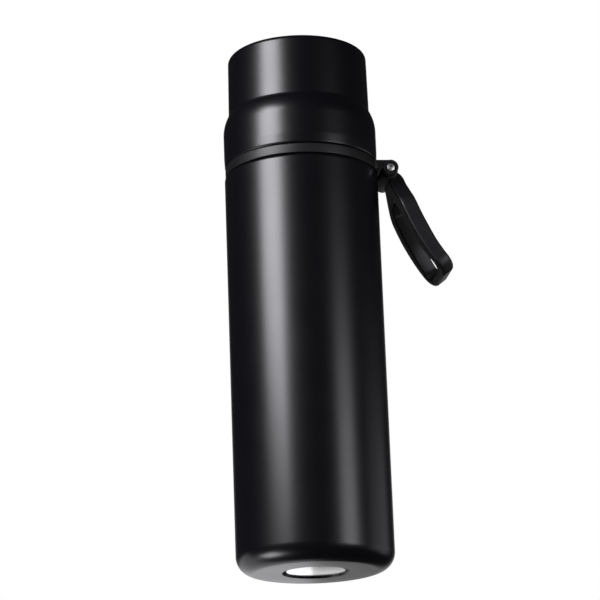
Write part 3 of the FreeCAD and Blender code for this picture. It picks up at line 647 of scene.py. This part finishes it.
def thread(name, radius, proud, foot, rise, lead, body, phase=0.0, width=2.2):
    """Thread ridge: angle a, height foot + lead a / 2 pi, its root ROOT_SINK deep.

    The ridge stands proud of the radius by proud, inwards where that is
    negative, times a fade that climbs from 0 to 1 over the angle FADE at
    either end.
    """
    count = int(rise / lead * STEPS_PER_TURN) + 1
    along = np.linspace(0, rise / lead * 2 * np.pi, count)
    fade = ease(np.minimum(along, along[-1] - along), 0, FADE)
    across = np.array([-width / 2, -CREST / 2, CREST / 2, width / 2, width / 2, -width / 2])
    out = np.array([0.0, 1.0, 1.0, 0.0, 0.0, 0.0])
    root = np.array([0.0, 0.0, 0.0, 0.0, -ROOT_SINK, -ROOT_SINK]) * np.sign(proud)
    reach = radius + proud * out * fade[:, None] + root
    angle = along[:, None] + phase
    height = foot + lead * along[:, None] / (2 * np.pi) + across
    points = np.stack([reach * np.cos(angle), reach * np.sin(angle), height], -1)
    columns = len(across)
    faces = grid_faces(count, columns, False, True).tolist()
    faces.append(list(range(columns)))
    faces.append(list(range((count - 1) * columns, count * columns))[::-1])
    piece = finished_mesh(name, points.reshape(-1, 3) * MM, faces, sharp=40)
    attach(piece, body)
    return piece


# %% The stopper's pair of threads
STOPPER_LEAD = 8.0
STOPPER_BORE = 26.3
neck_thread = thread("neck_thread", NECK_RADIUS, proud=0.8, foot=201.5, rise=8.4,
                     lead=STOPPER_LEAD, body="flask")
stopper_thread = thread("stopper_thread", STOPPER_BORE, proud=-0.8, foot=202.0, rise=9.6,
                        lead=STOPPER_LEAD, body="stopper", phase=math.pi)

# %% The cup's pair of threads
CUP_LEAD = 9.0
SKIRT_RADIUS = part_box("stopper_body")[1].x / MM
CUP_RING_BORE = 31.6
cup_post_thread = thread("cup_post_thread", SKIRT_RADIUS, proud=0.45, foot=200.5, rise=9.0,
                         lead=CUP_LEAD, body="stopper", width=2.0)
cup_ring_thread = thread("cup_ring_thread", CUP_RING_BORE, proud=-0.45, foot=199.2, rise=6.4,
                         lead=CUP_LEAD, body="cup", phase=math.pi, width=2.0)

# %% [markdown]
# ## Finishes
# A finish is more than a colour. Powder coat has a faint skin like orange
# peel, moulded plastic has a fine grain from the tool, and turned or brushed
# steel has lines that run the way the tool went. Images could show these, but
# they would have to be unwrapped onto every piece and would blur close up. Here
# each is worked out from the place on the piece, so it has the same size in
# millimetres everywhere.

# %% Helpers for node materials
def material(name):
    """Empty node material with its surface shader and its place in metres."""
    made = bpy.data.materials.new(name)
    made.use_nodes = True
    tree = made.node_tree
    shader = tree.nodes["Principled BSDF"]
    place = tree.nodes.new("ShaderNodeTexCoord")
    return made, tree, shader, place.outputs["Object"]


def noise(tree, vector, scale, detail):
    """Soft noise; its grains are about 1 / scale metres across."""
    made = tree.nodes.new("ShaderNodeTexNoise")
    made.inputs["Scale"].default_value = scale
    made.inputs["Detail"].default_value = detail
    tree.links.new(vector, made.inputs["Vector"])
    return made.outputs["Fac"]


def stretch(tree, vector, x, y, z):
    """The same place with each axis scaled, which draws noise out into lines."""
    made = tree.nodes.new("ShaderNodeMapping")
    made.inputs["Scale"].default_value = (x, y, z)
    tree.links.new(vector, made.inputs["Vector"])
    return made.outputs["Vector"]


def spread(tree, value, low, high):
    """A 0 to 1 value taken to the range from low to high."""
    made = tree.nodes.new("ShaderNodeMapRange")
    made.inputs["To Min"].default_value = low
    made.inputs["To Max"].default_value = high
    tree.links.new(value, made.inputs["Value"])
    return made.outputs["Result"]


def tint(tree, value, dark, light):
    """Colour that runs from dark to light with the value."""
    made = tree.nodes.new("ShaderNodeMix")
    made.data_type = "RGBA"
    made.inputs["A"].default_value = (*dark, 1)
    made.inputs["B"].default_value = (*light, 1)
    tree.links.new(value, made.inputs["Factor"])
    return made.outputs["Result"]


def bump(tree, shader, height, depth):
    """Surface relief: depth is the height in metres of a value of 1."""
    made = tree.nodes.new("ShaderNodeBump")
    made.inputs["Strength"].default_value = 1.0
    made.inputs["Distance"].default_value = depth
    tree.links.new(height, made.inputs["Height"])
    tree.links.new(made.outputs["Normal"], shader.inputs["Normal"])


# %% [markdown]
# ### Two families of finish
# Most of the finishes are either moulded or metal. A moulded one has a cloudy
# gloss and a fine even grain. A metal one has lines: the same noise, looked up
# at a place that is scaled far more across the lines than along them.

# %% Moulded and metal finishes
def moulded(name, dark, light, roughness, grain=2500, depth=0.00001):
    """Moulded plastic or rubber: fine grain from the tool, cloudy gloss.

    The roughness runs 0.05 either way with a noise of about a centimetre.
    """
    made, tree, shader, place = material(name)
    cloud = noise(tree, place, 90, 3)
    fine = noise(tree, place, grain, 2)
    tree.links.new(tint(tree, cloud, dark, light), shader.inputs["Base Color"])
    tree.links.new(spread(tree, cloud, roughness - 0.05, roughness + 0.05), shader.inputs["Roughness"])
    bump(tree, shader, fine, depth)
    return made


def metal(name, colour, roughness, scale, depth):
    """Metal with fine lines; scale (x, y, z) is small along the lines.

    The colour falls to 0.88 of itself and the roughness runs 0.06 either way
    with the same noise that raises the lines by depth.
    """
    made, tree, shader, place = material(name)
    lines = noise(tree, stretch(tree, place, *scale), 1.0, 3)
    dark = tuple(0.88 * part for part in colour)
    tree.links.new(tint(tree, lines, dark, colour), shader.inputs["Base Color"])
    tree.links.new(spread(tree, lines, roughness - 0.06, roughness + 0.06), shader.inputs["Roughness"])
    shader.inputs["Metallic"].default_value = 1.0
    bump(tree, shader, lines, depth)
    return made


# %% [markdown]
# ### Black coating
# The coating is satin: it spreads a lamp into a broad soft stripe and keeps
# little of its own colour. One even roughness would look like plain plastic.
# Two noises give it life: a coarse one of a centimetre or two that varies the
# gloss, and one finer than a millimetre for the orange peel.

# %% Black coating
COAT_DARK = (0.0012, 0.0011, 0.0024)
COAT_LIGHT = (0.0018, 0.0017, 0.0032)
PEEL_DEPTH = 0.000006
black_coat, tree, shader, place = material("black_coat")
cloud = noise(tree, place, 60, 3)
peel = noise(tree, place, 1300, 2)
tree.links.new(tint(tree, cloud, COAT_DARK, COAT_LIGHT), shader.inputs["Base Color"])
tree.links.new(spread(tree, cloud, 0.28, 0.33), shader.inputs["Roughness"])
bump(tree, shader, peel, PEEL_DEPTH)

# %% [markdown]
# ### Plastics, rubber, glass and sintered metal
# The ring and the handle are a matt black nylon, a little rougher than the
# coating beside them. The stopper is a dark plastic with a grey button, so that
# a hand finds it, and the seals are translucent silicone, which a pale matt
# grey stands for. The seal glass is smooth and the getter is coarse.

# %% Moulded pieces
black_plastic = moulded("black_plastic", (0.003, 0.003, 0.0038), (0.005, 0.005, 0.006), 0.45)
dark_plastic = moulded("dark_plastic", (0.018, 0.018, 0.020), (0.026, 0.026, 0.028), 0.5)
grey_plastic = moulded("grey_plastic", (0.14, 0.14, 0.15), (0.18, 0.18, 0.19), 0.45)
silicone = moulded("silicone", (0.36, 0.36, 0.37), (0.44, 0.44, 0.45), 0.6, grain=1200)
getter_metal = moulded("getter_metal", (0.22, 0.22, 0.22), (0.32, 0.32, 0.32), 0.7,
                       grain=900, depth=0.00004)
seal_glass = moulded("seal_glass", (0.03, 0.05, 0.045), (0.05, 0.07, 0.06), 0.15, grain=300)

# %% [markdown]
# ### Steel and foil
# The vessel is brushed round its axis, so its lines are thin along Z. The disc
# is polished nearly to a mirror, and the screw's turned head is duller. The
# foil round the vessel is crinkled copper, so its relief is the deepest.

# %% Metal pieces
brushed_steel = metal("brushed_steel", (0.60, 0.60, 0.61), 0.30, (60, 60, 5000), 0.000002)
bright_steel = metal("bright_steel", (0.82, 0.82, 0.83), 0.16, (900, 900, 900), 0.000001)
turned_steel = metal("turned_steel", (0.84, 0.84, 0.85), 0.40, (900, 900, 900), 0.000001)
copper_foil = metal("copper_foil", (0.80, 0.42, 0.26), 0.22, (200, 200, 200), 0.00003)

# %% [markdown]
# ### Every piece gets its finish
# The record of the frame names a material slot for each solid. A welded copy
# takes the finish of its own solid's slot, and the pieces made above take the
# finish of the slot of what they stand for.

# %% Finishes of the slots
FINISHES = {
    "black_paint": black_coat,
    "black_plastic": black_plastic,
    "dark_plastic": dark_plastic,
    "grey_plastic": grey_plastic,
    "silicone": silicone,
    "steel": brushed_steel,
    "bright_steel": bright_steel,
    "copper_foil": copper_foil,
    "getter_metal": getter_metal,
    "seal_glass": seal_glass,
}


def finish_piece(piece, slot_name, finish=None):
    """Give a piece the finish of one of the record's slots, or a finish of its own."""
    piece.data.materials.clear()
    piece.data.materials.append(finish or FINISHES[slot_name])


# %% Finish of each piece
slots = {sub["node"]: sub["material_slot"] for sub in frame["record"]["subparts"]}
for node, piece in skins.items():
    finish_piece(piece, slots[node])
for piece in (painted_body, painted_cup):
    finish_piece(piece, "black_paint")
for piece in (steel_neck, neck_thread):
    finish_piece(piece, "steel")
for piece in (handle_loop, handle_barrel):
    finish_piece(piece, "black_plastic")
for piece in (stopper_thread, cup_post_thread, cup_ring_thread):
    finish_piece(piece, "dark_plastic")
finish_piece(bright_disc, "bright_steel")
finish_piece(screw, "bright_steel", turned_steel)
print(len(FINISHES), "slots have a finish")

# %% [markdown]
# ## The room
# Satin black shows little but what it mirrors, so the room matters more than
# the lamps' power. An image of a studio could light the flask, but a room
# worked out from directions is easier to aim. It is white for the camera, dim
# for the light it gives, and for mirror rays it is dark but for one white patch
# behind the flask, which draws the pale rims on the black metal.

# %% Sums in nodes
def arithmetic(tree, operation, *values, clamp=False):
    """Math node on plain numbers and sockets, kept within 0 and 1 if asked."""
    made = tree.nodes.new("ShaderNodeMath")
    made.operation = operation
    made.use_clamp = clamp
    for socket, value in zip(made.inputs, values):
        if isinstance(value, (int, float)):
            socket.default_value = value
        else:
            tree.links.new(value, socket)
    return made.outputs["Value"]


def blend(tree, factor, low, high):
    """low + factor (high - low)."""
    step = arithmetic(tree, "SUBTRACT", high, low)
    return arithmetic(tree, "ADD", low, arithmetic(tree, "MULTIPLY", factor, step))


def soft_step(tree, value, start, end):
    """0 at start and 1 at end, and 3 t^2 - 2 t^3 between."""
    made = tree.nodes.new("ShaderNodeMapRange")
    made.interpolation_type = "SMOOTHSTEP"
    made.inputs["From Min"].default_value = start
    made.inputs["From Max"].default_value = end
    tree.links.new(value, made.inputs["Value"])
    return made.outputs["Result"]


# %% Directions in the room
def compass(turn, rise):
    """Unit vector at an angle from -Y towards +X, and an angle above level."""
    turn, rise = math.radians(turn), math.radians(rise)
    return (math.sin(turn) * math.cos(rise), -math.cos(turn) * math.cos(rise), math.sin(rise))


def facing(tree, way, direction, edge, core):
    """1 within the angle core of a direction, down to 0 at the angle edge.

    Two unit vectors' dot product is the cosine of the angle between them, so
    the soft step runs between the two cosines.
    """
    dot = tree.nodes.new("ShaderNodeVectorMath")
    dot.operation = "DOT_PRODUCT"
    dot.inputs[1].default_value = direction
    tree.links.new(way, dot.inputs[0])
    edge, core = math.radians(edge), math.radians(core)
    return soft_step(tree, dot.outputs["Value"], math.cos(edge), math.cos(core))


# %% World
DARK_ROOM = 0.016
SOFT_LIGHT = 0.4
WHITE = 1.0
world = bpy.data.worlds.new("studio")
bpy.context.scene.world = world
world.use_nodes = True
tree = world.node_tree
background = tree.nodes["Background"]
ray = tree.nodes.new("ShaderNodeLightPath").outputs
way = tree.nodes.new("ShaderNodeTexCoord").outputs["Generated"]

backdrop = facing(tree, way, compass(turn=172, rise=5), edge=23, core=5)
mirrored_room = blend(tree, backdrop, DARK_ROOM, WHITE)
mirror = arithmetic(tree, "MAXIMUM", ray["Is Glossy Ray"], ray["Is Transmission Ray"])
unseen = blend(tree, mirror, SOFT_LIGHT, mirrored_room)
strength = blend(tree, ray["Is Camera Ray"], unseen, WHITE)
tree.links.new(strength, background.inputs["Strength"])
background.inputs["Color"].default_value = (1, 1, 1, 1)

# %% [markdown]
# ## The floor
# The floor is there for the flask's shadow. Seen from below it would hide the
# flask, and at its far edge it would draw a line. A shadow catcher would avoid
# both, but only with a render setting. So the floor is mixed with a clear
# shader: it shows itself only to a camera above it, fades into the white room
# away from the flask, and is clear to every other ray.

# %% Floor
FLOOR_HALF = 3.0
FLOOR_GAP = 0.0002
corners = FLOOR_HALF * np.array([(-1, -1, 0), (1, -1, 0), (1, 1, 0), (-1, 1, 0)])
floor_mesh = bpy.data.meshes.new("floor")
floor_mesh.from_pydata(corners.tolist(), [], [(0, 1, 2, 3)])
floor = bpy.data.objects.new("floor", floor_mesh)
floor.location.z = -FLOOR_GAP
bpy.context.scene.collection.objects.link(floor)

# %% Finish of the floor
FADE_NEAR = 0.3
FADE_FAR = 1.5
pale_floor, tree, shader, place = material("pale_floor")
shader.inputs["Base Color"].default_value = (0.85, 0.85, 0.85, 1)
shader.inputs["Roughness"].default_value = 0.9
ray = tree.nodes.new("ShaderNodeLightPath").outputs
side = tree.nodes.new("ShaderNodeNewGeometry").outputs
distance = tree.nodes.new("ShaderNodeVectorMath")
distance.operation = "LENGTH"
tree.links.new(place, distance.inputs[0])

above = arithmetic(tree, "SUBTRACT", ray["Is Camera Ray"], side["Backfacing"], clamp=True)
near = soft_step(tree, distance.outputs["Value"], FADE_FAR, FADE_NEAR)
shown = arithmetic(tree, "MULTIPLY", above, near)
clear = tree.nodes.new("ShaderNodeBsdfTransparent")
either = tree.nodes.new("ShaderNodeMixShader")
tree.links.new(shown, either.inputs["Fac"])
tree.links.new(clear.outputs["BSDF"], either.inputs[1])
tree.links.new(shader.outputs["BSDF"], either.inputs[2])
tree.links.new(either.outputs["Shader"], tree.nodes["Material Output"].inputs["Surface"])
floor_mesh.materials.append(pale_floor)

# %% [markdown]
# ## The lamps
# A lamp is chosen for its mirror image in the black metal. A tall strip on the
# left leans a little and draws the long highlight down the body. A weaker
# strip on the right draws the second one, and a wide dim card beyond it lifts
# the right flank out of the dark. A lamp from below and a small card near the
# bottom light the underside. Area lamps do this best, because their size sets
# how broad the highlight is.

# %% Lamps
LAMP_COLOUR = (0.96, 0.95, 1.0)


def lamp(name, place, aim, width, height, brightness, lean=0.0):
    """Rectangular soft lamp; its power is 4 x area x brightness.

    It may lean in its own plane by some degrees, its top towards the left for
    someone who looks past it at the flask.
    """
    data = bpy.data.lights.new(name, "AREA")
    data.shape = "RECTANGLE"
    data.size = width
    data.size_y = height
    data.energy = 4 * width * height * brightness
    data.color = LAMP_COLOUR
    made = bpy.data.objects.new(name, data)
    made.location = place
    facing_aim = (Vector(aim) - Vector(place)).to_track_quat("-Z", "Y")
    made.rotation_euler = (facing_aim @ Quaternion((0, 0, 1), math.radians(lean))).to_euler()
    bpy.context.scene.collection.objects.link(made)
    print(f"{name}: {data.energy:.3f} W")


lamp("key_strip", (-0.79, -0.59, 0.60), aim=(0, 0, 0.60),
     width=0.54, height=0.58, brightness=12.4, lean=-14)
lamp("right_strip", (0.83, -0.86, 0.09), aim=(0, 0, 0.09),
     width=0.47, height=0.58, brightness=3.5)
lamp("right_card", (1.18, 0.21, -0.04), aim=(0, 0, -0.04),
     width=0.9, height=0.72, brightness=0.48)
lamp("low_lamp", (-0.595, 0.0, -0.535), aim=(0, 0, 0),
     width=0.3, height=0.3, brightness=7.5)
lamp("base_card", (-0.165, 0.18, -0.13), aim=(-0.165, 0, -0.13),
     width=0.375, height=0.238, brightness=0.65)

# %% [markdown]
# ## The camera
# A long lens from a metre away keeps the sides of the flask nearly parallel.
# The camera stands below the flask's foot and looks up, so the underside and
# its disc show. It could be aimed at the flask with a constraint, but a slight
# roll and an aim past the flask are wanted too. So its stance is worked out
# from its yaw, pitch and roll, and is then turned about the flask's axis.

# %% Camera
CAMERA_TURN = math.radians(-7.87)
CAMERA_REACH = 1.1046
CAMERA_HEIGHT = -0.1943
CAMERA_YAW = -0.0024
CAMERA_PITCH = 0.2840
CAMERA_ROLL = -0.037
LENS = 148.55
SENSOR = 36.0

about_axis = Matrix.Rotation(CAMERA_TURN, 4, "Z")
forward = Vector((math.sin(CAMERA_YAW) * math.cos(CAMERA_PITCH),
                  math.cos(CAMERA_YAW) * math.cos(CAMERA_PITCH), math.sin(CAMERA_PITCH)))
level_right = Vector((math.cos(CAMERA_YAW), -math.sin(CAMERA_YAW), 0))
level_up = level_right.cross(forward)
right = math.cos(CAMERA_ROLL) * level_right + math.sin(CAMERA_ROLL) * level_up
up = -math.sin(CAMERA_ROLL) * level_right + math.cos(CAMERA_ROLL) * level_up
stance = Matrix((right, up, -forward)).transposed().to_4x4()
stance.translation = Vector((0, -CAMERA_REACH, CAMERA_HEIGHT))
camera_data = bpy.data.cameras.new("camera")
camera_data.lens = LENS
camera_data.sensor_width = SENSOR
camera = bpy.data.objects.new("camera", camera_data)
camera.matrix_world = about_axis @ stance
bpy.context.scene.collection.objects.link(camera)
bpy.context.scene.camera = camera
bpy.context.scene.view_settings.view_transform = "Standard"
